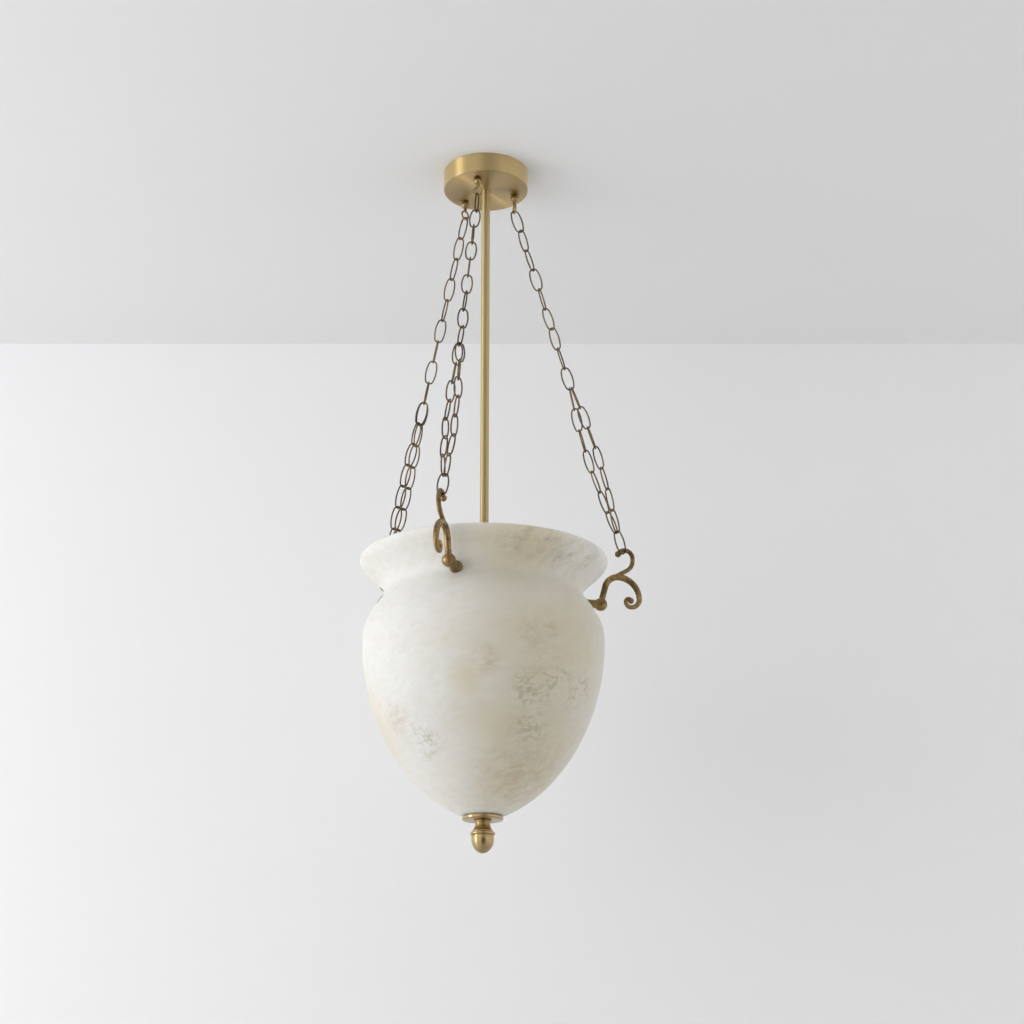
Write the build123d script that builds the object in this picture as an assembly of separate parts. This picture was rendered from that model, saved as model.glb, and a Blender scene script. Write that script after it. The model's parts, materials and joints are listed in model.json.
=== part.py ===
from build123d import *
from math import atan2, cos, degrees, radians, sin, sqrt, tan
import os

# Alabaster pendant light: a stone urn on three chains, around a lamp stem fixed to the same canopy.
# Millimetres, +Z up. The origin is on the ceiling, at the centre of the canopy's open rim.
# Chain 1 is on the +X side, and the chains follow each other every 120 degrees about Z.

# Clearances
slip = 0.15              # round piece in its hole, all round
link_gap = 0.3           # air where one link hangs in another
hook_gap = 0.5           # air where a gathering link carries its hook
thread_end = 2.0         # thread that stands past a nut

# Ceiling canopy, a spun brass drum
canopy_d = 127.0
canopy_h = 30.0
canopy_wall = 1.8
canopy_round = 1.6

# Crossbar on the ceiling box, lowered in the middle to leave room for a nut
crossbar_length = 88.0
crossbar_width = 20.0
crossbar_t = 2.0
crossbar_drop = 14.0
crossbar_middle = 32.0
screw_spacing = 70.0
screw_hole_d = 4.8

# Stem, and the threaded nipple that holds stem, canopy and crossbar together
stem_d = 12.7
stem_wall = 1.2
stem_length = 660.0
nipple_wall = 1.5
nipple_in_stem = 20.0
nipple_nut_af = 16.0
nipple_nut_h = 5.0

# Chain eyes under the canopy
eye_circle_r = 45.0
eye_ring_d = 16.0
eye_wire = 2.8
eye_ring_drop = 24.0
eye_ball_d = 12.6
eye_ball_sink = 1.2
eye_flange_d = 13.0
eye_flange_t = 1.5
eye_neck_d = 5.0
eye_stud_d = 5.0
eye_washer_d = 10.0
eye_washer_t = 1.0
eye_nut_af = 8.0
eye_nut_h = 4.0

# Chains: single links, two strands side by side on the last of them, one gathering link
chain_count = 3
single_links = 9
strand_links = 7
link_wire = 2.2
link_width = 17.4
link_end_r = 6.0         # bend of the wire's centre line at a link's two ends
strand_spread = 16.0
strand_seat = 30.0       # degrees from a bend's middle to where each strand hangs
strand_tilt = 28.0       # degrees that every second strand link turns out of the strands' plane
strand_turn = (-30.0, 0.0, 0.0)      # degrees from each chain's tangent to its gathering link's plane
strand_wind = (-45.0, -45.0, 45.0)   # degrees that each pair of strands winds on its way up
half_turns = (4, 5, 4)               # half turns that the single links of each chain make

# Urn, one block of alabaster. Drops are measured from the ceiling to the lip, then from the lip.
lip_drop = 621.0
lip_d = 350.5
lip_round = 3.0
lip_roll = 12.0
mouth_d = 296.0
mouth_round = 6.0
neck_drop = 47.5
neck_d = 279.0
neck_wall = 14.0
neck_rise = 20.0
neck_curl = 13.0
belly_drop = 115.0
belly_d = 338.0
belly_wall = 12.0
shoulder_run = 37.0
belly_run = 117.0
foot_drop = 358.5
foot_d = 56.0
foot_run = 80.0
foot_slope = 21.0
floor_t = 16.0
floor_d = 64.0

# Scroll hooks: boss against the neck, arm rolling over into a volute, hook with a ball tip
seat_depth = 1.5
flange_d = 18.0
flange_t = 4.0
waist_d = 12.0
boss_length = 44.0
boss_ball_d = 19.0
arm_d = 9.2
arm_lean = 15.0
arm_rise = 28.4
arm_bend = 20.8
arm_fall = 31.0
volute_r = 12.7
volute_shrink = 0.62
volute_quarters = 4
volute_end_d = 5.4
volute_eye_d = 8.6
hook_d = 6.4
hook_back = 13.5
hook_sunk = 4.5
hook_lean = 30.0
hook_run = 30.0
hook_bend = 19.0
hook_rise = 3.0
crest_r = 11.5
crest_turn = 155.0
tip_d = 9.4
hook_stud_d = 8.0
hook_washer_d = 22.0
hook_washer_t = 2.0
hook_nut_af = 13.0
hook_nut_h = 6.5

# Finial under the urn
rod_d = 8.0
rod_in_knob = 18.0
soft_washer_d = 48.0
soft_washer_t = 1.0
disc_d = 56.0
disc_t = 5.0
knob_bead_d = 24.5
knob_bead_h = 3.0
knob_neck_d = 20.5
knob_neck_h = 12.7
collar_d = 34.0
collar_h = 5.0
groove_d = 28.6
groove_h = 1.2
acorn_d = 31.6
acorn_h = 22.7
floor_washer_d = 44.0
floor_washer_t = 2.5
rod_nut_af = 13.0
rod_nut_h = 6.5

# Lamps at the stem's lower end
lamp_count = 3
lamp_tilt = 32.0
lamp_azimuth = 60.0
hub_d = 50.0
hub_collar_d = 19.0
hub_collar_rise = 16.0
hub_drop = 14.0
tube_d = 10.0
tube_depth = 8.0
tube_reach = 10.0
holder_d = 27.0
holder_neck_d = 18.0
holder_shoulder = 8.0
holder_length = 42.0
holder_wall = 1.6
holder_floor = 14.0
skirt_depth = 10.0
tube_seat = 5.0
cap_d = 14.0
cap_length = 20.0
cap_flange_d = 18.0
cap_flange_t = 2.0
globe_d = 45.0
globe_neck = 37.0

# Levels and radii that several pieces share
canopy_floor = -canopy_h + canopy_wall
lip_z = -lip_drop
neck_z = lip_z - neck_drop
belly_z = lip_z - belly_drop
foot_z = lip_z - foot_drop
neck_r = neck_d / 2
boss_seat_r = neck_r - seat_depth
inner_seat_r = neck_r - neck_wall + seat_depth
boss_ball_r = boss_seat_r + boss_length - boss_ball_d / 2
nipple_d = stem_d - 2 * stem_wall - 2 * slip
stem_end_z = -canopy_h - stem_length
hub_z = stem_end_z - hub_drop
chain_angles = [360 / chain_count * index for index in range(chain_count)]
parts = {}


def turned(outline):
    """Solid of revolution about Z, from a closed outline of radius and height."""
    return revolve(Plane.XZ * make_face(outline), Axis.Z)


def ring_of(d, hole_d, z, height):
    """Flat ring that stands on the level z."""
    return Pos(0, 0, z + height / 2) * (Cylinder(d / 2, height) - Cylinder(hole_d / 2, height))


def hex_nut(across_flats, hole_d, z, height):
    """Hexagon nut that stands on the level z."""
    hexagon = RegularPolygon(across_flats / 2, 6, major_radius=False)
    return Pos(0, 0, z) * extrude(hexagon - Circle(hole_d / 2), height)


def around(shape, angles):
    """Copies of one piece about Z, kept as separate solids."""
    return [Rot(0, 0, angle) * shape for angle in angles]


def group(shapes):
    """One node of several loose solids."""
    return Compound([solid for shape in shapes for solid in shape.solids()])


def numbered(name, shapes):
    """Enter one node for each copy of a piece."""
    for index, shape in enumerate(shapes, 1):
        parts[f"{name}_{index}"] = shape


def make_canopy():
    """Drum open to the ceiling, with holes for the nipple and the three eye studs."""
    outer_r = canopy_d / 2
    inner_r = outer_r - canopy_wall
    outline = FilletPolyline(
        (0, canopy_floor), (inner_r, canopy_floor), (inner_r, 0), (outer_r, 0), (outer_r, -canopy_h),
        (0, -canopy_h), radius=[0, canopy_round / 2, 0, 0, canopy_round, 0], close=True)
    drum = turned(outline)
    nipple_hole = Pos(0, 0, -canopy_h) * Cylinder(nipple_d / 2 + slip, 4 * canopy_wall)
    eye_hole = Pos(eye_circle_r, 0, -canopy_h) * Cylinder(eye_stud_d / 2 + slip, 4 * canopy_wall)
    return drum - nipple_hole - around(eye_hole, chain_angles)


def make_crossbar():
    """Steel strap across the ceiling box, bent down in the middle, along Y."""
    bend = crossbar_middle / 2
    crest = bend + crossbar_drop
    end = crossbar_length / 2
    corner = crossbar_t * tan(radians(22.5))
    top = [(0, -crossbar_drop), (bend, -crossbar_drop), (crest, 0), (end, 0)]
    under = [(end, -crossbar_t), (crest + corner, -crossbar_t),
             (bend + corner, -crossbar_drop - crossbar_t), (0, -crossbar_drop - crossbar_t)]
    half = Plane.YZ * make_face(Polyline(*top, *under, close=True))
    strap = extrude(half, crossbar_width / 2, both=True)
    strap += mirror(strap, Plane.XZ)
    hole = Pos(0, screw_spacing / 2, 0) * Cylinder(screw_hole_d / 2, 4 * crossbar_t)
    nipple_hole = Pos(0, 0, -crossbar_drop) * Cylinder(nipple_d / 2 + slip, 4 * crossbar_t)
    return strap - hole - mirror(hole, Plane.XZ) - nipple_hole


def make_stem_and_nipple():
    """Brass tube up against the canopy, and the nipple through canopy and crossbar with its nuts."""
    parts["stem"] = ring_of(stem_d, stem_d - 2 * stem_wall, stem_end_z, stem_length)
    top = -crossbar_drop + nipple_nut_h + thread_end
    bottom = -canopy_h - nipple_in_stem
    parts["stem_nipple"] = ring_of(nipple_d, nipple_d - 2 * nipple_wall, bottom, top - bottom)
    under_bar = -crossbar_drop - crossbar_t - nipple_nut_h
    levels = [canopy_floor, under_bar, -crossbar_drop]
    parts["nipple_nuts"] = group(
        hex_nut(nipple_nut_af, nipple_d + 2 * slip, level, nipple_nut_h) for level in levels)


def make_eyes():
    """Ball collars with closed rings under the canopy, and their washers and nuts inside it."""
    ring_z = -canopy_h - eye_ring_drop
    wire_r, shank_r, ball_r = eye_wire / 2, eye_neck_d / 2, eye_ball_d / 2
    stud_r, collar_r = eye_stud_d / 2, eye_flange_d / 2
    major = eye_ring_d / 2 - wire_r
    collar_z = -canopy_h - eye_flange_t
    ball_z = collar_z - ball_r + eye_ball_sink
    ball_top_r = sqrt(ball_r**2 - (collar_z - ball_z)**2)
    shank_top = ball_z - sqrt(ball_r**2 - shank_r**2)
    stud_top = canopy_floor + eye_washer_t + eye_nut_h + thread_end
    outline = Polyline(
        (0, ring_z + major), (0, stud_top), (stud_r, stud_top), (stud_r, -canopy_h),
        (collar_r, -canopy_h), (collar_r, collar_z), (ball_top_r, collar_z))
    outline += ThreePointArc((ball_top_r, collar_z), (ball_r, ball_z), (shank_r, shank_top))
    outline += Polyline((shank_r, shank_top), (shank_r, ring_z + major), (0, ring_z + major))
    eye = turned(outline) + Pos(0, 0, ring_z) * Rot(0, 90, 0) * Torus(major, wire_r)
    on_circle = Pos(eye_circle_r, 0, 0)
    hole_d = eye_stud_d + 2 * slip
    washer = ring_of(eye_washer_d, hole_d, canopy_floor, eye_washer_t)
    nut = hex_nut(eye_nut_af, hole_d, canopy_floor + eye_washer_t, eye_nut_h)
    numbered("chain_eye", around(on_circle * eye, chain_angles))
    parts["eye_washers"] = group(around(on_circle * washer, chain_angles))
    parts["eye_nuts"] = group(around(on_circle * nut, chain_angles))
    return Vector(eye_circle_r, 0, ring_z - major)


def make_urn():
    """Turned stone: rolled lip, cove, neck, shoulder, egg-shaped body and flat foot."""
    lip_r, belly_r, foot_r = lip_d / 2, belly_d / 2, foot_d / 2
    mouth_r, top_z = mouth_d / 2, lip_z + lip_round
    slope = (cos(radians(foot_slope)), sin(radians(foot_slope)))
    lip = Line((mouth_r + mouth_round, top_z), (lip_r - lip_round, top_z))
    lip += JernArc(lip @ 1, (1, 0), lip_round, -90)
    cove = Bezier(
        (lip_r, lip_z), (lip_r, lip_z - lip_roll), (neck_r, neck_z + neck_rise), (neck_r, neck_z))
    shoulder = Bezier(
        (neck_r, neck_z), (neck_r, neck_z - neck_curl),
        (belly_r, belly_z + shoulder_run), (belly_r, belly_z))
    body = Bezier(
        (belly_r, belly_z), (belly_r, belly_z - belly_run),
        (foot_r + foot_run * slope[0], foot_z + foot_run * slope[1]), (foot_r, foot_z))

    floor_z, floor_r = foot_z + floor_t, floor_d / 2
    hollow_neck_r, hollow_r = neck_r - neck_wall, belly_r - belly_wall
    mouth_z = top_z - mouth_round
    base = Polyline((foot_r, foot_z), (0, foot_z), (0, floor_z), (floor_r, floor_z))
    hollow = Bezier(
        (floor_r, floor_z), (floor_r + foot_run * slope[0], floor_z + foot_run * slope[1]),
        (hollow_r, belly_z - belly_run), (hollow_r, belly_z))
    hollow_shoulder = Bezier(
        (hollow_r, belly_z), (hollow_r, belly_z + shoulder_run / 2),
        (hollow_neck_r, neck_z - shoulder_run / 2), (hollow_neck_r, neck_z))
    hollow_mouth = Bezier(
        (hollow_neck_r, neck_z), (hollow_neck_r, neck_z + neck_rise),
        (mouth_r, mouth_z - lip_roll), (mouth_r, mouth_z))
    mouth_edge = JernArc((mouth_r, mouth_z), (0, 1), mouth_round, -90)
    urn = turned(
        lip + cove + shoulder + body + base + hollow + hollow_shoulder + hollow_mouth + mouth_edge)

    boss_cut = Pos(boss_seat_r, 0, neck_z) * Rot(0, 90, 0) * Cylinder(
        flange_d / 2 + slip, lip_r, align=(Align.CENTER, Align.CENTER, Align.MIN))
    washer_cut = Pos(inner_seat_r, 0, neck_z) * Rot(0, 90, 0) * Cylinder(
        hook_washer_d / 2 + slip, hollow_neck_r / 2, align=(Align.CENTER, Align.CENTER, Align.MAX))
    stud_hole = Pos(neck_r, 0, neck_z) * Rot(0, 90, 0) * Cylinder(
        hook_stud_d / 2 + slip, 4 * neck_wall)
    rod_hole = Pos(0, 0, foot_z) * Cylinder(rod_d / 2 + slip, 4 * floor_t)
    parts["urn"] = urn - around(boss_cut + washer_cut + stud_hole, chain_angles) - rod_hole


def tapered_bar(path, diameters):
    """Round bar along a path in the XZ plane, its diameter running through the given values."""
    last = len(diameters) - 1
    sections = [
        Plane(path @ (index / last), x_dir=(0, 1, 0), z_dir=path % (index / last)) * Circle(diameter / 2)
        for index, diameter in enumerate(diameters)]
    return sweep(sections, path=path, multisection=True)


def hook_paths():
    """Centre lines of the arm with its volute and of the hook on its crown, from the boss's ball."""
    root = Vector(boss_ball_r, neck_z)
    rising = Vector(sin(radians(arm_lean)), cos(radians(arm_lean)))
    arm = Curve() + Line(root, root + rising * arm_rise)
    arm += JernArc(arm @ 1, rising, arm_bend, arm_lean - 90)
    crown = arm @ 1
    arm += JernArc(crown, (1, 0), arm_fall, -90)
    heading = Vector(0, -1)
    for quarter in range(volute_quarters):
        arm += JernArc(arm @ 1, heading, volute_r * volute_shrink**quarter, -90)
        heading = heading.rotate(Axis.Z, -90)
    lean = Vector(cos(radians(hook_lean)), sin(radians(hook_lean)))
    foot = crown - Vector(hook_back, hook_sunk)
    hook = Curve() + Line(foot, foot + lean * hook_run)
    hook += JernArc(hook @ 1, lean, hook_bend, 90 - hook_lean)
    hook += Line(hook @ 1, hook @ 1 + Vector(0, hook_rise))
    crest_centre = hook @ 1 - Vector(crest_r, 0)
    hook += JernArc(hook @ 1, (0, 1), crest_r, crest_turn)
    return Plane.XZ * arm, Plane.XZ * hook, Vector(crest_centre.X, 0, crest_centre.Y)


def make_scroll_hooks():
    """Cast hooks with their studs through the neck, and the washers and nuts inside the urn."""
    arm_path, hook_path, crest_centre = hook_paths()
    outward = Pos(boss_seat_r, 0, neck_z) * Rot(0, 90, 0)
    waist_at = boss_length - boss_ball_d
    ball_at = boss_length - boss_ball_d / 2
    flange_r, waist_r = flange_d / 2, waist_d / 2
    flare = Bezier(
        (flange_r, flange_t), (waist_r, flange_t), (waist_r, waist_at / 2), (waist_r, waist_at))
    boss = turned(flare + Polyline(
        (waist_r, waist_at), (waist_r, ball_at), (0, ball_at), (0, 0), (flange_r, 0),
        (flange_r, flange_t)))
    stud_length = boss_seat_r - inner_seat_r + hook_washer_t + hook_nut_h + thread_end
    boss += ring_of(hook_stud_d, 0, -stud_length, stud_length)
    boss += Pos(0, 0, ball_at) * Sphere(boss_ball_d / 2)
    arm = tapered_bar(arm_path, [arm_d, arm_d, arm_d, (arm_d + volute_end_d) / 2, volute_end_d])
    arm += Pos(arm_path @ 1) * Sphere(volute_eye_d / 2)
    hook = tapered_bar(hook_path, [hook_d, hook_d])
    hook += Pos(hook_path @ 1) * Sphere(tip_d / 2)
    numbered("scroll_hook", around(outward * boss + arm + hook, chain_angles))

    hole_d = hook_stud_d + 2 * slip
    inward = Pos(inner_seat_r, 0, neck_z) * Rot(0, -90, 0)
    washer = inward * ring_of(hook_washer_d, hole_d, 0, hook_washer_t)
    nut = inward * hex_nut(hook_nut_af, hole_d, hook_washer_t, hook_nut_h)
    parts["hook_washers"] = group(around(washer, chain_angles))
    parts["hook_nuts"] = group(around(nut, chain_angles))
    return crest_centre


def oval_link(length):
    """Closed oval of round wire in its own XZ plane, long along Z, this long between wire centres.

    Its ends are tight bends and its sides are shallow ones, which meet without a corner.
    """
    half_width = (link_width - link_wire) / 2
    end_z = length / 2 - link_end_r
    side_r = (end_z**2 + half_width**2 - link_end_r**2) / (2 * (half_width - link_end_r))
    side_x = half_width - side_r
    half_side = degrees(atan2(end_z, -side_x))
    wire = Circle(link_wire / 2)
    side = Pos(side_x, 0, 0) * Rot(0, half_side, 0) * revolve(
        Pos(side_r, 0, 0) * wire, Axis((0, 0, 0), (0, -1, 0)), 2 * half_side)
    end = Pos(0, 0, end_z) * Rot(0, -half_side, 0) * revolve(
        Pos(link_end_r, 0, 0) * wire, Axis((0, 0, 0), (0, -1, 0)), 180 - 2 * half_side)
    half = side + end
    return half + Rot(0, 180, 0) * half


def make_chains(eye, crest_centre):
    """Hang each chain between its eye's wire and the crest of its hook."""
    reach = (crest_centre - eye).length - crest_r
    along = (crest_centre - eye).normalized()
    tangent = Vector(0, 1, 0)
    normal = along.cross(tangent)
    pass_by = link_wire + link_gap
    seat_r = link_end_r - pass_by
    seat_out = seat_r * sin(radians(strand_seat))
    seat_rise = link_end_r - seat_r * cos(radians(strand_seat))
    eye_rise = (eye_wire + link_wire) / 2 + link_gap
    hook_sink = (hook_d + link_wire) / 2 + hook_gap

    # The links' length follows from the room between eye and hook
    links_in_line = single_links + strand_links + 1
    overlaps = (links_in_line - 3) * pass_by + 2 * seat_rise
    length = (reach + eye_rise + hook_sink + overlaps) / links_in_line
    link = oval_link(length)
    step = length - pass_by
    first = length / 2 - eye_rise
    strand_top = first + (single_links - 1) * step + length / 2 - seat_rise
    strand_end = strand_top + strand_links * step + pass_by
    gather_top = strand_end - seat_rise

    for chain, angle in enumerate(chain_angles):
        def side(roll):
            return tangent * cos(radians(roll)) + normal * sin(radians(roll))

        def hung(shape, middle, roll, aim=along):
            placed = Plane(eye + middle, x_dir=side(roll), z_dir=aim) * shape
            return Rot(0, 0, angle) * placed

        gathered = strand_turn[chain]
        parted = gathered + strand_wind[chain]
        twist = (parted - 90 + 180 * half_turns[chain]) / (single_links - 1)
        singles = [
            hung(link, along * (first + index * step), 90 + index * twist)
            for index in range(single_links)]

        def strand(sign):
            """Links of one strand, bowed out from the last single link and in on the gathering link."""
            def turn_at(share):
                return parted + (gathered - parted) * share

            def bow(share):
                out = seat_out + (strand_spread / 2 - seat_out) * sin(radians(180 * share))
                return side(turn_at(share)) * sign * out

            links = []
            for index in range(strand_links):
                top = bow(index / strand_links)
                end = bow((index + 1) / strand_links)
                middle = along * (strand_top + length / 2 + index * step) + (top + end) * 0.5
                roll = turn_at((index + 0.5) / strand_links) + (strand_tilt if index % 2 else 90)
                links.append(hung(link, middle, roll, along * step + end - top))
            return group(links)

        name = f"chain_{chain + 1}"
        parts[f"{name}_top_link"] = singles[0]
        parts[f"{name}_single_links"] = group(singles[1:])
        parts[f"{name}_strand_a"] = strand(1)
        parts[f"{name}_strand_b"] = strand(-1)
        parts[f"{name}_hook_link"] = hung(link, along * (gather_top + length / 2), gathered)
    print(f"chain: link {length + link_wire:.3f} long outside, reach {reach:.3f}, crest at {crest_centre}")


def make_finial():
    """Disc and acorn knob under the foot, on a rod that is nutted inside the urn."""
    hole_d = rod_d + 2 * slip
    disc_top = foot_z - soft_washer_t
    knob_top = disc_top - disc_t
    neck_top = knob_top - knob_bead_h
    collar_top = neck_top - knob_neck_h
    groove_top = collar_top - collar_h
    acorn_top = groove_top - groove_h
    acorn_tip = acorn_top - acorn_h
    neck_r_knob, collar_r, groove_r = knob_neck_d / 2, collar_d / 2, groove_d / 2
    acorn_r = acorn_d / 2
    parts["soft_washer"] = ring_of(soft_washer_d, hole_d, disc_top, soft_washer_t)
    disc_outline = FilletPolyline(
        (hole_d / 2, disc_top), (disc_d / 2, disc_top), (disc_d / 2, knob_top), (hole_d / 2, knob_top),
        radius=[0, disc_t / 3, disc_t / 3, 0], close=True)
    parts["finial_disc"] = turned(disc_outline)

    bore_end = knob_top - rod_in_knob
    bead_in_r = (knob_bead_d - knob_bead_h) / 2
    outline = Polyline(
        (0, bore_end), (hole_d / 2, bore_end), (hole_d / 2, knob_top), (bead_in_r, knob_top))
    outline += JernArc((bead_in_r, knob_top), (1, 0), knob_bead_h / 2, -180)
    outline += Line((bead_in_r, neck_top), (neck_r_knob, neck_top))
    outline += Bezier(
        (neck_r_knob, neck_top), (neck_r_knob, collar_top + knob_neck_h / 4),
        (collar_r - collar_h / 2, collar_top + knob_neck_h / 4), (collar_r - collar_h / 2, collar_top))
    outline += JernArc((collar_r - collar_h / 2, collar_top), (1, 0), collar_h / 2, -180)
    outline += Polyline(
        (collar_r - collar_h / 2, groove_top), (groove_r, groove_top), (groove_r, acorn_top))
    outline += Line((groove_r, acorn_top), (acorn_r - groove_h / 2, acorn_top))
    outline += Bezier(
        (acorn_r - groove_h / 2, acorn_top), (acorn_r + groove_h, acorn_top - acorn_h / 2),
        (acorn_r * 0.6, acorn_tip), (0, acorn_tip))
    outline += Line((0, acorn_tip), (0, bore_end))
    parts["finial_knob"] = turned(outline)

    floor_z = foot_z + floor_t
    rod_top = floor_z + floor_washer_t + rod_nut_h + thread_end
    parts["finial_rod"] = ring_of(rod_d, 0, bore_end, rod_top - bore_end)
    parts["floor_washer"] = ring_of(floor_washer_d, hole_d, floor_z, floor_washer_t)
    parts["finial_nut"] = hex_nut(rod_nut_af, hole_d, floor_z + floor_washer_t, rod_nut_h)


def make_lamps():
    """Hub on the stem's end, with lamp holders that point down and outwards, and their lamps."""
    lamp_angles = [lamp_azimuth + 360 / lamp_count * index for index in range(lamp_count)]
    hub_r = hub_d / 2
    tube_hole_d = tube_d + 2 * slip
    tube_start = hub_r - tube_depth
    holder_start = hub_r + tube_reach - tube_seat
    tube_end = hub_r + tube_reach
    aimed = Pos(0, 0, hub_z) * Rot(0, 180 - lamp_tilt, 0)

    hub = Pos(0, 0, hub_z) * Sphere(hub_r)
    hub += ring_of(hub_collar_d, 0, hub_z, hub_drop + hub_collar_rise)
    hub -= ring_of(stem_d + 2 * slip, 0, stem_end_z, 2 * hub_collar_rise)
    hub -= around(aimed * ring_of(tube_hole_d, 0, tube_start, hub_r), lamp_angles)
    parts["lamp_hub"] = hub
    tube = aimed * ring_of(tube_d, tube_d - 2 * nipple_wall, tube_start, tube_end - tube_start)
    parts["holder_tubes"] = group(around(tube, lamp_angles))

    holder_end = holder_start + holder_length
    floor_at = holder_start + holder_floor
    skirt_at = holder_end - skirt_depth
    cap_hole_r = cap_d / 2 + slip
    skirt_r = holder_d / 2 - holder_wall
    holder = turned(Polyline(
        (tube_hole_d / 2, holder_start), (holder_neck_d / 2, holder_start),
        (holder_d / 2, holder_start + holder_shoulder), (holder_d / 2, holder_end),
        (skirt_r, holder_end), (skirt_r, skirt_at), (cap_hole_r, skirt_at), (cap_hole_r, floor_at),
        (0, floor_at), (0, tube_end), (tube_hole_d / 2, tube_end), close=True))
    cap_end = floor_at + cap_length
    cap = ring_of(cap_d, 0, floor_at, cap_length)
    cap += ring_of(cap_flange_d, 0, cap_end, cap_flange_t)
    globe_start = cap_end + cap_flange_t
    globe_r, neck_r_globe = globe_d / 2, cap_flange_d / 2
    globe_z = globe_start + globe_neck
    outline = Polyline((0, globe_z + globe_r), (0, globe_start), (neck_r_globe, globe_start))
    outline += Bezier(
        (neck_r_globe, globe_start), (neck_r_globe, globe_start + globe_neck / 3),
        (globe_r, globe_z - globe_neck / 2), (globe_r, globe_z))
    outline += JernArc((globe_r, globe_z), (0, 1), globe_r, 90)
    globe = turned(outline)
    numbered("lamp_holder", around(aimed * holder, lamp_angles))
    numbered("lamp_cap", around(aimed * cap, lamp_angles))
    numbered("lamp_globe", around(aimed * globe, lamp_angles))


parts["canopy"] = make_canopy()
parts["crossbar"] = make_crossbar()
make_stem_and_nipple()
eye_wire_centre = make_eyes()
make_urn()
hook_crest_centre = make_scroll_hooks()
make_chains(eye_wire_centre, hook_crest_centre)
make_finial()
make_lamps()

os.makedirs("parts", exist_ok=True)
for part_name, shape in parts.items():
    export_step(shape, f"parts/{part_name}.step")
print(f"{len(parts)} nodes")
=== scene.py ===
# %% [markdown]
# # An alabaster pendant light
#
# A carved stone urn hangs by three brass chains from a round ceiling canopy, around a brass stem
# that carries the lamps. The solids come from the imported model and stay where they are. This lesson
# gives them their finishes, hangs them from a pale ceiling, lights the room and sets the camera.

# %% Load the solids
import json
import math
import bpy
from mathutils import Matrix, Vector

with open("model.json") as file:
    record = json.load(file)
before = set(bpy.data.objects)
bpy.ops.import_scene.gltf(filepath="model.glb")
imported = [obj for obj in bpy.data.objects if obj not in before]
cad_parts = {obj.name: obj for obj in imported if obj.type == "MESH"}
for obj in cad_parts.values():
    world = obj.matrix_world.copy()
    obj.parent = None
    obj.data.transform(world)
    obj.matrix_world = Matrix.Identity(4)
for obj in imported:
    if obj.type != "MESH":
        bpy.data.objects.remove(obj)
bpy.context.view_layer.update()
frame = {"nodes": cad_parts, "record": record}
nodes = frame["nodes"]
slots = {}
for part in frame["record"]["subparts"]:
    slots.setdefault(part["material_slot"], []).append(part["node"])
print(len(nodes), "solids in", len(slots), "finishes")

# %% [markdown]
# ## A short way to write materials
#
# A material is a graph of nodes. Wiring each node by hand takes many lines, so one small class wraps
# an output socket and turns `a * b + 0.2` into Math nodes. Everything else, such as a noise texture,
# comes from the `node` method of a finish, which sets the node's options before its sockets.


# %% Sockets that can be added and multiplied
class Value:
    """An output socket. Sums, products and powers of values add Math nodes to their material."""

    def __init__(self, socket):
        self.socket = socket

    def math(self, operation, first, second):
        tree = self.socket.id_data
        made = tree.nodes.new("ShaderNodeMath")
        made.operation = operation
        for number, socket in zip((first, second), made.inputs):
            if isinstance(number, Value):
                tree.links.new(number.socket, socket)
            else:
                socket.default_value = number
        return Value(made.outputs[0])

    def __add__(self, other):
        return self.math("ADD", self, other)

    def __radd__(self, other):
        return self.math("ADD", other, self)

    def __sub__(self, other):
        return self.math("SUBTRACT", self, other)

    def __rsub__(self, other):
        return self.math("SUBTRACT", other, self)

    def __mul__(self, other):
        return self.math("MULTIPLY", self, other)

    def __rmul__(self, other):
        return self.math("MULTIPLY", other, self)

    def __pow__(self, other):
        return self.math("POWER", self, other)

    def __abs__(self):
        return self.math("ABSOLUTE", self, 0.0)

    def at_least(self, other):
        return self.math("MAXIMUM", self, other)


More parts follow.
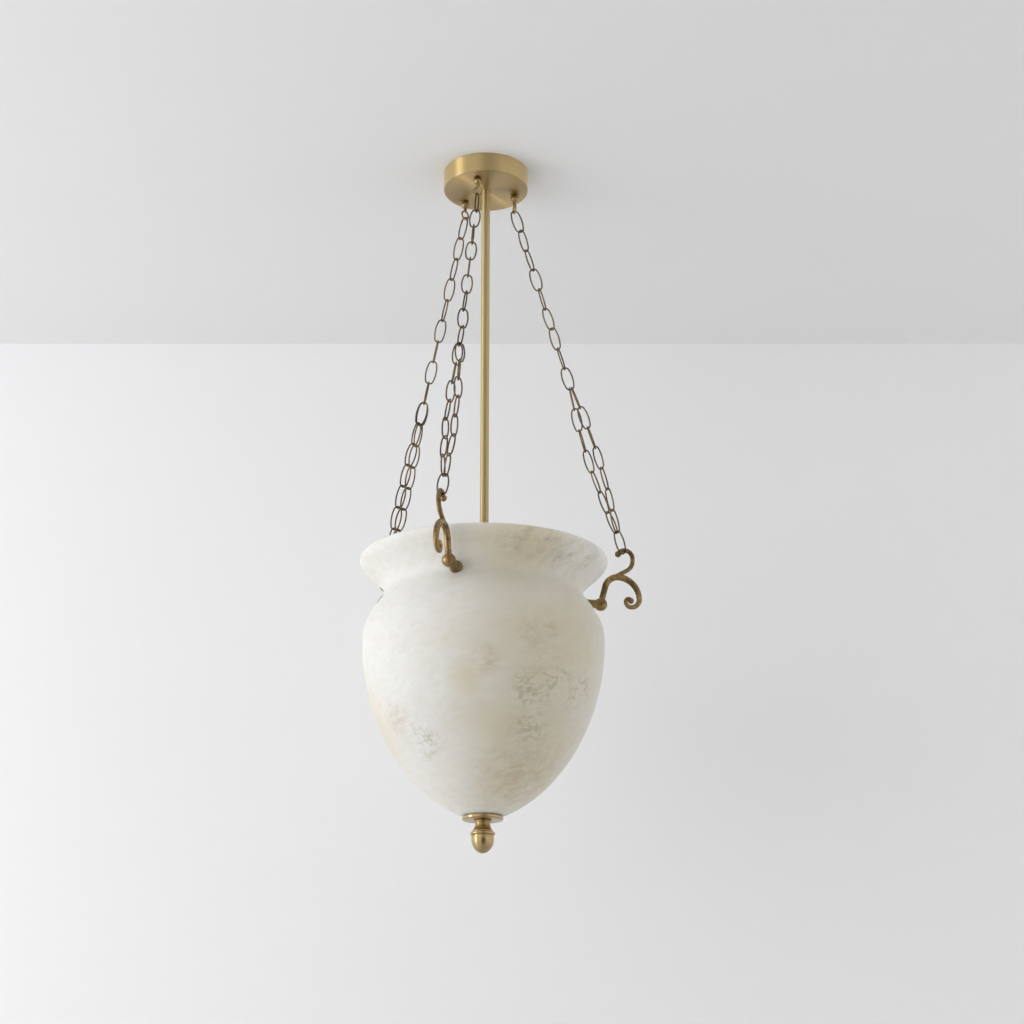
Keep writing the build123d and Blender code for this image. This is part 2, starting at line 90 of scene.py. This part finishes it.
# %% A finish and the nodes that feed it
class Finish:
    """A material with one Principled shader."""

    def __init__(self, name):
        self.material = bpy.data.materials.new(name)
        self.material.use_nodes = True
        self.tree = self.material.node_tree
        self.shader = self.tree.nodes["Principled BSDF"]
        self.place = self.node("TexCoord", {}, {}, "Object")

    def feed(self, socket, value):
        if isinstance(value, Value):
            self.tree.links.new(value.socket, socket)
        elif socket.type == "RGBA":
            socket.default_value = (*value, 1.0)
        else:
            socket.default_value = value

    def node(self, kind, settings, inputs, output=0):
        """Add a node: its settings first, then its sockets by name or number. Give one output."""
        made = self.tree.nodes.new("ShaderNode" + kind)
        for name, value in settings.items():
            setattr(made, name, value)
        for key, value in inputs.items():
            self.feed(made.inputs[key], value)
        return Value(made.outputs[output])

    def set(self, inputs):
        for key, value in inputs.items():
            self.feed(self.shader.inputs[key], value)

    def noise(self, place, scale, detail=3.0, roughness=0.5, output=0):
        return self.node("TexNoise", {}, {"Vector": place, "Scale": scale, "Detail": detail,
                                          "Roughness": roughness}, output)

    def vector(self, operation, first, second, output=0):
        return self.node("VectorMath", {"operation": operation}, {0: first, 1: second}, output)

    def mix(self, share, first, second):
        return self.node("Mix", {"data_type": "RGBA"}, {0: share, 6: first, 7: second}, 2)

    def step(self, value, low, high):
        """Rise smoothly from 0 at low to 1 at high."""
        return self.node("MapRange", {"interpolation_type": "SMOOTHSTEP"},
                         {"Value": value, "From Min": low, "From Max": high})

    def near(self, spots):
        """1 at any of these points of the object, fading to 0 at each one's own radius."""
        found = None
        for centre, radius in spots:
            spot = 1 - self.step(self.vector("DISTANCE", self.place, centre, 1), 0.0, radius)
            found = spot if found is None else found.at_least(spot)
        return found

    def bump(self, height, depth, strength=1.0):
        return self.node("Bump", {}, {"Height": height, "Distance": depth, "Strength": strength})

    def paint(self, solids):
        for name in solids:
            nodes[name].data.materials.clear()
            nodes[name].data.materials.append(self.material)
        print(self.material.name, "on", len(solids), "solids,", len(self.tree.nodes), "shader nodes")


# %% [markdown]
# ## Alabaster
#
# The urn is one block of translucent gypsum stone, clouded all over and veined in patches. Its colour is
# milky on the left, towards the window, and beige on the right, away from it: that beige is partly the
# stone's own tone and partly painted shade. One noise would look even all over, so several do one job
# each. They are stretched along the stone's beds, which rise to the right, gently on the body and
# steeply on the lip. A slow noise clouds the colour, and the thin lines where a noise passes its middle
# value draw wisps and cracks. Soft spheres say where on the stone the beige with its painted shade, the
# veins, the streaks and the rusty stains gather. Light enters the stone and comes out nearby, so the
# shader scatters below the surface.

# %% Where the stone is beige with painted shade, veined, streaked and stained: centres and radii in metres
# These beige patches are partly the stone's own tone and partly painted shade on the urn's right and front
beige_and_shade_patches = [
    ((0.070, -0.150, -0.780), 0.23), ((0.060, -0.100, -0.920), 0.19), ((0.010, -0.165, -0.640), 0.13),
    ((-0.059, -0.147, -0.825), 0.05), ((0.000, -0.125, -0.890), 0.12), ((0.020, -0.075, -0.950), 0.10),
    ((0.040, 0.160, -0.760), 0.18), ((-0.150, 0.060, -0.880), 0.14)]
veined_patches = [
    ((0.024, -0.150, -0.838), 0.045), ((0.061, -0.145, -0.821), 0.055), ((0.104, -0.113, -0.833), 0.045),
    ((0.030, -0.124, -0.885), 0.045), ((-0.098, -0.070, -0.899), 0.040), ((-0.120, 0.100, -0.800), 0.08),
    ((0.060, 0.130, -0.850), 0.07)]
streaked_patches = [
    ((0.010, -0.163, -0.633), 0.05), ((0.045, -0.153, -0.636), 0.055), ((0.085, -0.135, -0.640), 0.055),
    ((0.118, -0.108, -0.642), 0.05), ((-0.090, 0.140, -0.650), 0.08)]
rusty_patches = [
    ((0.027, -0.165, -0.768), 0.032), ((0.047, -0.162, -0.757), 0.026), ((0.018, -0.096, -0.927), 0.055),
    ((0.036, -0.096, -0.922), 0.045), ((-0.035, -0.157, -0.803), 0.030), ((-0.131, -0.050, -0.866), 0.036),
    ((0.030, -0.085, -0.940), 0.09), ((0.120, 0.080, -0.820), 0.06), ((-0.060, 0.110, -0.920), 0.06)]


# %% Stone of the urn
def alabaster():
    stone = Finish("alabaster")
    drift = stone.noise(stone.place, 9.0, 3.0, output=1)
    sway = 0.07
    bent = stone.vector("ADD", stone.place, stone.vector("MULTIPLY", drift, (sway, sway, sway)))

    def beds(rise, across):
        """Places along beds that rise to the right by so many degrees and are so much thinner than long."""
        return stone.node("Mapping", {"vector_type": "TEXTURE"}, {
            "Vector": bent, "Rotation": (0.0, math.radians(-rise), 0.0), "Scale": (1.0, 1.0, 1.0 / across)})

    level, slant = beds(18, 2.2), beds(40, 2.2)
    cloud = stone.step(stone.noise(level, 7.0, 6.0, 0.62), 0.36, 0.70)
    mottle = stone.noise(level, 60.0, 5.0, 0.65)
    wisp = 1 - stone.step(abs(stone.noise(level, 13.0, 5.0, 0.6) - 0.5), 0.0, 0.07)
    crack = 1 - stone.step(abs(stone.noise(level, 22.0, 4.0, 0.6) - 0.5), 0.0, 0.045)
    streak = stone.step(stone.noise(slant, 30.0, 6.0, 0.75), 0.46, 0.70)
    fleck = stone.step(stone.noise(level, 85.0, 4.0, 0.7), 0.50, 0.66)
    # Painted shade in part: besides the stone's own beige, this darkens and warms the side away from the
    # window
    beige_and_shade = stone.near(beige_and_shade_patches) * (0.70 + cloud * 0.30)
    colour = stone.mix(beige_and_shade, (0.79, 0.79, 0.765), (0.66, 0.58, 0.40))
    colour = stone.mix(cloud * 0.22 + wisp * 0.10, colour, (0.66, 0.605, 0.50))
    rusty = stone.near(rusty_patches) * stone.step(mottle, 0.30, 0.74)
    colour = stone.mix(rusty * 0.65, colour, (0.50, 0.36, 0.23))
    veined = stone.near(veined_patches) * (crack * 0.52 + fleck * 0.40)
    colour = stone.mix(veined, colour, (0.36, 0.325, 0.215))
    colour = stone.mix(stone.near(streaked_patches) * (streak * 0.60 + crack * 0.25), colour,
                       (0.37, 0.335, 0.25))
    colour = stone.mix(stone.step(mottle, 0.35, 0.75) * 0.22, colour, (0.58, 0.53, 0.43))
    stone.set({"Base Color": colour, "Roughness": 0.44 + mottle * 0.18,
               "Normal": stone.bump(mottle, 0.0004, 0.4), "Subsurface Weight": 0.45,
               "Subsurface Radius": (1.0, 0.95, 0.85), "Subsurface Scale": 0.03,
               "Specular IOR Level": 0.35, "IOR": 1.52})
    stone.paint(slots["alabaster"])


alabaster()

# %% [markdown]
# ## Brass, seven ways
#
# The same alloy looks different by how each piece was worked. The canopy, the stem and the finial were
# brushed on a lathe, so their marks run round, and a highlight on them is drawn out across the marks.
# The shader's anisotropy does that, turned a quarter so that it acts across. The hooks are cast and
# pebbled, and the chains are drawn wire. All of them are one recipe: a bright tone, a tarnish that
# gathers in cloudy patches, and fine marks that change the tone and the roughness. Faces that look
# down are painted darker with the tarnish colour, as painted shade. A thin clear coat stands for the
# lacquer that keeps such brass bright, and it makes the highlights paler.


# %% Fine marks by the way a piece was worked
def turned_lines(metal):
    """Rings about the upright axis, as a lathe leaves them."""
    split = metal.node("SeparateXYZ", {}, {"Vector": metal.place}).socket.node.outputs
    x, y, z = (Value(socket) for socket in split)
    radius = (x * x + y * y) ** 0.5
    along = metal.node("CombineXYZ", {}, {"X": radius * 1300, "Y": z * 1300, "Z": x * 30 + y * 22})
    return metal.noise(along, 1.0, 3.0, 0.6)


def cast_grain(metal):
    """The pebbled skin of a sand casting, rubbed smooth."""
    return metal.noise(metal.place, 300.0, 4.0, 0.6)


def drawn_wire(metal):
    """Faint streaks of a wire that was pulled through a die and bent."""
    return metal.noise(metal.place, 700.0, 2.0, 0.5)


# %% One recipe for all the brass
def brass(name, marked, bright, tarnish, share, roughness, depth, stretch, lacquer):
    """Brass with these marks: share is how much is tarnished, stretch how far highlights are drawn."""
    metal = Finish(name)
    marks = marked(metal)
    patch = metal.noise(metal.place, 26.0, 5.0, 0.65)
    spots = metal.noise(metal.place, 160.0, 3.0, 0.6)
    outward = metal.node("NewGeometry", {}, {}, "Normal")
    facing = metal.node("SeparateXYZ", {}, {"Vector": outward}, "Z")
    # Painted shade: faces that look down are darkened towards the tarnish colour
    painted_shade_below = 1 - metal.step(facing, -0.9, 0.1)
    tarnish_and_shade = metal.step(patch + spots * 0.35 + marks * 0.15, 1.05 - share, 1.35 - share)
    # From here this mask holds both the tarnish patches and the painted shade on faces that look down
    tarnish_and_shade = tarnish_and_shade.at_least(painted_shade_below * 0.65)
    tone = metal.mix(marks * 0.4, bright, tuple(c * 0.80 for c in bright))
    metal.set({"Base Color": metal.mix(tarnish_and_shade, tone, tarnish), "Metallic": 1.0,
               "Roughness": roughness + marks * 0.10 + tarnish_and_shade * 0.14,
               "Normal": metal.bump(marks, depth, 0.6), "Anisotropic": stretch,
               "Anisotropic Rotation": 0.25, "Coat Weight": lacquer, "Coat IOR": 1.8,
               "Coat Roughness": 0.30})
    return metal


# %% The seven brasses
eyes = [name for name in slots["brushed_brass"] if name.startswith("chain_eye")]
turned = [name for name in slots["brushed_brass"] if name != "stem" and name not in eyes]
links = [name for name in slots["aged_brass"] if name.startswith("chain")]
hooks = [name for name in slots["aged_brass"] if name not in links]
# name, marks, bright tone, tarnish, share, roughness, depth of marks in m, stretch, lacquer, solids
for *recipe, solids in (
        ("brushed_brass", turned_lines, (0.78, 0.575, 0.245), (0.44, 0.305, 0.115), 0.22, 0.44,
         0.00005, 1.0, 0.6, turned),
        ("stem_brass", turned_lines, (0.76, 0.575, 0.26), (0.50, 0.36, 0.15), 0.15, 0.44,
         0.00002, 1.0, 0.6, ["stem"]),
        ("aged_brass", cast_grain, (0.46, 0.315, 0.13), (0.16, 0.10, 0.042), 0.47, 0.26,
         0.0004, 0.0, 0.08, hooks),
        ("chain_brass", drawn_wire, (0.27, 0.182, 0.08), (0.09, 0.058, 0.026), 0.46, 0.20,
         0.00008, 0.0, 0.1, links),
        ("eye_brass", drawn_wire, (0.46, 0.32, 0.14), (0.28, 0.18, 0.08), 0.35, 0.20,
         0.00004, 0.0, 0.25, eyes),
        ("finial_brass", turned_lines, (0.54, 0.39, 0.165), (0.24, 0.155, 0.05), 0.16, 0.22,
         0.00003, 0.8, 0.5, slots["finial_brass"]),
        ("fitting_brass", turned_lines, (0.54, 0.40, 0.20), (0.40, 0.28, 0.13), 0.30, 0.26,
         0.00006, 0.4, 0.0, slots["fitting_brass"])):
    brass(*recipe).paint(solids)

# %% [markdown]
# ## The fittings inside
#
# Washers and nuts are zinc-plated steel, with the cloudy bloom that plating has. The lamp holders are
# moulded in dark resin, the lamp caps are rolled aluminium and the globes are opal glass, which
# scatters light like milk. They show from above and in other views, so each gets a finish of its own.


# %% Plating, resin, rubber, aluminium and opal glass
def zinc_plate():
    metal = Finish("zinc_steel")
    bloom = metal.noise(metal.place, 130.0, 4.0, 0.6)
    scuff = metal.noise(metal.vector("MULTIPLY", metal.place, (900, 900, 120)), 1.0, 2.0)
    metal.set({"Base Color": metal.mix(bloom, (0.62, 0.63, 0.63), (0.46, 0.48, 0.50)), "Metallic": 1.0,
               "Roughness": 0.28 + bloom * 0.22 + scuff * 0.08, "Normal": metal.bump(scuff, 0.00005, 0.5)})
    metal.paint(slots["zinc_steel"])


def moulded(slot, pale, deep, roughness, scale):
    """A moulded piece: fine spark-eroded texture, slightly uneven in tone."""
    resin = Finish(slot)
    grain = resin.noise(resin.place, scale, 3.0, 0.6)
    tone = resin.noise(resin.place, 40.0, 2.0)
    resin.set({"Base Color": resin.mix(tone, deep, pale), "Roughness": roughness + grain * 0.15,
               "Normal": resin.bump(grain, 0.0001, 0.5)})
    resin.paint(slots[slot])


def cap_aluminium():
    metal = Finish("cap_metal")
    rolled = metal.noise(metal.vector("MULTIPLY", metal.place, (300, 300, 300)), 1.0, 3.0)
    metal.set({"Base Color": metal.mix(rolled, (0.78, 0.78, 0.77), (0.66, 0.66, 0.65)), "Metallic": 1.0,
               "Roughness": 0.22 + rolled * 0.16, "Normal": metal.bump(rolled, 0.00006, 0.5)})
    metal.paint(slots["cap_metal"])


def opal_glass():
    glass = Finish("opal_glass")
    milk = glass.noise(glass.place, 60.0, 2.0)
    glass.set({"Base Color": glass.mix(milk, (0.90, 0.90, 0.88), (0.86, 0.86, 0.83)),
               "Roughness": 0.10 + milk * 0.06, "Subsurface Weight": 0.5,
               "Subsurface Radius": (1.0, 0.95, 0.88), "Subsurface Scale": 0.006, "IOR": 1.5})
    glass.paint(slots["opal_glass"])


zinc_plate()
moulded("holder_plastic", (0.055, 0.054, 0.052), (0.030, 0.030, 0.029), 0.42, 900.0)
moulded("soft_rubber", (0.72, 0.71, 0.67), (0.62, 0.61, 0.57), 0.60, 600.0)
cap_aluminium()
opal_glass()

# %% [markdown]
# ## The camera
#
# The light is seen from below, a little to its left. The lens and the tilt were worked out from the
# ellipses of the canopy and the urn, which open more the higher they are above the eye. A camera that
# tilts up makes the upright lines converge, as they do here, so it is pitched and not shifted.

# %% Set the camera
sensor = 36.0
focal = 1903.7 / 1024 * sensor
azimuth, turn, pitch = math.radians(-14.280), math.radians(0.8822), math.radians(18.924)
distance, height = 2.5743, -1.4266
eye = Vector((distance * math.sin(azimuth), -distance * math.cos(azimuth), height))
heading = azimuth - turn
ahead = Vector((-math.sin(heading), math.cos(heading), 0.0))
right = Vector((math.cos(heading), math.sin(heading), 0.0))
lens = bpy.data.cameras.new("camera")
lens.sensor_width, lens.lens = sensor, focal
camera = bpy.data.objects.new("camera", lens)
camera.location = eye
sight = ahead * math.cos(pitch) + Vector((0.0, 0.0, math.sin(pitch)))
camera.rotation_euler = sight.to_track_quat("-Z", "Y").to_euler()
bpy.context.scene.collection.objects.link(camera)
bpy.context.scene.camera = camera
print("lens", round(focal, 2), "mm, eye at", [round(v, 3) for v in eye])

# %% [markdown]
# ## The room
#
# The canopy sits against a pale ceiling, with a plain wall behind and a pale floor below. Each surface
# is one sheet that can be seen from its front only, so that nothing hides the light from other sides.
# Mixing a clear shader in by the face's direction does that. Over the canopy the ceiling has a round
# opening, as for a ceiling box, so that light from above reaches the fittings inside the canopy.


# %% Ceiling, wall and floor
def room_point(side, depth, z):
    """A point by its distance to the right of the camera, ahead of it, and its height."""
    spot = eye + right * side + ahead * depth
    return Vector((spot.x, spot.y, z))


def plaster(name, colour):
    paint = Finish(name)
    roller = paint.noise(paint.place, 240.0, 3.0, 0.6)
    paint.set({"Base Color": colour, "Roughness": 0.9, "Specular IOR Level": 0.1,
               "Normal": paint.bump(roller, 0.0003, 0.15)})
    out = paint.tree.nodes["Material Output"]
    behind = paint.node("NewGeometry", {}, {}, "Backfacing")
    clear = paint.node("BsdfTransparent", {}, {})
    shown = paint.node("MixShader", {}, {0: behind, 1: Value(paint.shader.outputs[0]), 2: clear})
    paint.feed(out.inputs["Surface"], shown)
    return paint.material


def sheet(name, corners, colour, faces=((0, 1, 2, 3),)):
    mesh = bpy.data.meshes.new(name)
    mesh.from_pydata(corners, [], faces)
    mesh.materials.append(plaster(name, colour))
    made = bpy.data.objects.new(name, mesh)
    bpy.context.scene.collection.objects.link(made)
    return made


near_end, wall_depth, half_width = -2.0, 3.21, 4.0
ceiling_z, floor_z = 0.0008, -2.6
corners = [room_point(-half_width, near_end, ceiling_z), room_point(-half_width, wall_depth, ceiling_z),
           room_point(half_width, wall_depth, ceiling_z), room_point(half_width, near_end, ceiling_z)]
hole_radius, hole_points = 0.058, 48
turns = [-2 * math.pi * index / hole_points for index in range(hole_points)]
rim = [Vector((hole_radius * math.cos(a), hole_radius * math.sin(a), ceiling_z)) for a in turns]
# Each point of the rim is joined to the corner that lies most nearly the same way
closest = [max(range(4), key=lambda k: spot.xy.dot(corners[k].xy.normalized())) for spot in rim]
pierced = []
for here in range(hole_points):
    there = (here + 1) % hole_points
    outer = dict.fromkeys((closest[here], closest[there]))
    pierced.append((*outer, len(corners) + there, len(corners) + here))
sheet("ceiling", corners + rim, (0.86, 0.86, 0.86), pierced)
sheet("wall", [room_point(-half_width, wall_depth, floor_z), room_point(half_width, wall_depth, floor_z),
               room_point(half_width, wall_depth, ceiling_z),
               room_point(-half_width, wall_depth, ceiling_z)], (0.90, 0.90, 0.91))
sheet("floor", [room_point(-half_width, near_end, floor_z), room_point(half_width, near_end, floor_z),
                room_point(half_width, wall_depth, floor_z),
                room_point(-half_width, wall_depth, floor_z)], (0.80, 0.80, 0.79))
print("room", 2 * half_width, "m wide, opening", 2 * hole_radius, "m across")

# %% [markdown]
# ## The light
#
# A narrow window stands far to the left, and brass shows it as one upright highlight. A broad soft lamp
# beside it, for the pale wall around a window, and a weak one on the right light the stone. These two are
# kept out of reflections, so that they add no second highlight to the metal. A dark board slants
# behind the camera, where the camera can't see it, and gives the brass the dark band that makes it
# read as metal.


# %% Window, fill and dark board
def soft_light(name, place, target, width, tall, power):
    lamp = bpy.data.lights.new(name, "AREA")
    lamp.shape, lamp.size, lamp.size_y, lamp.energy = "RECTANGLE", width, tall, power
    made = bpy.data.objects.new(name, lamp)
    made.location = place
    made.rotation_euler = (target - place).to_track_quat("-Z", "Y").to_euler()
    made.visible_camera = False
    bpy.context.scene.collection.objects.link(made)
    return made


middle = Vector((0.0, 0.0, -0.6))
soft_light("window", room_point(-3.3, 1.6, -0.9), middle, 1.1, 1.9, 26.5)
for name, spot, width, tall, power in (("window_wall", room_point(-2.7, 0.1, -0.9), 2.6, 1.9, 21.0),
                                       ("fill", room_point(2.6, 2.2, -0.9), 1.4, 2.0, 6.5)):
    soft_light(name, spot, middle, width, tall, power).visible_glossy = False

board_left, board_right = -0.6, 1.6
foot_depth, foot_z, head_depth, head_z = 0.4, -2.5, -0.6, -0.45
board = sheet("board", [room_point(board_left, foot_depth, foot_z),
                        room_point(board_left, head_depth, head_z),
                        room_point(board_right, head_depth, head_z),
                        room_point(board_right, foot_depth, foot_z)], (0.03, 0.03, 0.03))
board.visible_camera = False

world = bpy.data.worlds.new("room_air")
world.use_nodes = True
world.node_tree.nodes["Background"].inputs["Color"].default_value = (0.92, 0.92, 0.93, 1.0)
bpy.context.scene.world = world
bpy.context.scene.view_settings.view_transform = "Standard"
print(len(bpy.data.lights), "lamps and a dark board")
